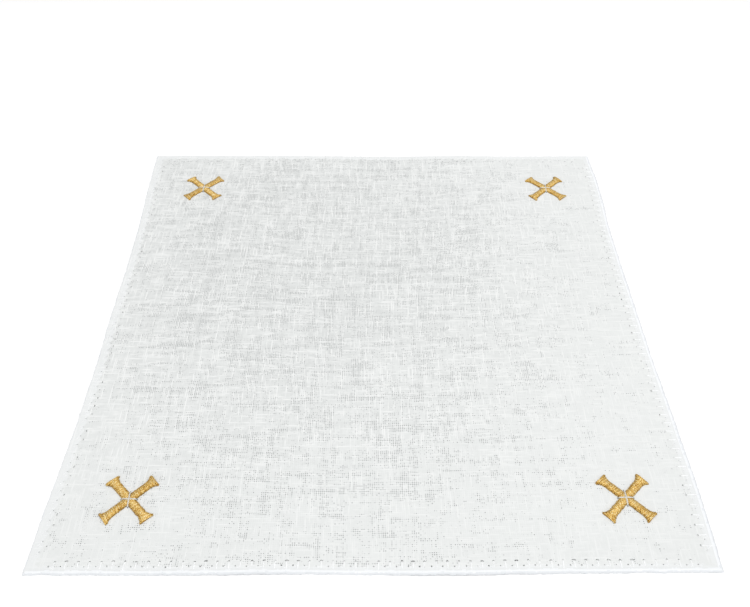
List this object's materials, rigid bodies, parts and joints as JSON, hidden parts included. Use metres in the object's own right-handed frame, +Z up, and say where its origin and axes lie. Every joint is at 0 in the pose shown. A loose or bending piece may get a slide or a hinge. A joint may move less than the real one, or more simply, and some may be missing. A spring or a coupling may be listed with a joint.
{
  "type": "altar cloth",
  "caption": "Square white linen altar cloth laid flat, with a pin-stitched hem and a gold embroidered cross in each corner.",
  "frame": {"origin": "middle of the cloth, on the flat underside that lies on the table", "axes": "+Z up through the thickness, -Y towards the front edge, +X towards the right edge"},
  "size_m": [0.4046, 0.4035, 0.0029],
  "materials": {
    "white_linen": "plain-weave linen, slightly slubbed, matte",
    "gold_thread": "satin-stitched metallic gold thread, soft gleam",
    "silver_thread": "metallic silver-white thread, soft gleam"
  },
  "bodies": {
    "root": {"linen_cloth": "white_linen", "gold_cross_front_left": "gold_thread", "gold_cross_front_right": "gold_thread", "gold_cross_back_left": "gold_thread", "gold_cross_back_right": "gold_thread", "silver_star_front_left": "silver_thread", "silver_star_front_right": "silver_thread", "silver_star_back_left": "silver_thread", "silver_star_back_right": "silver_thread"}
  },
  "joints": []
}
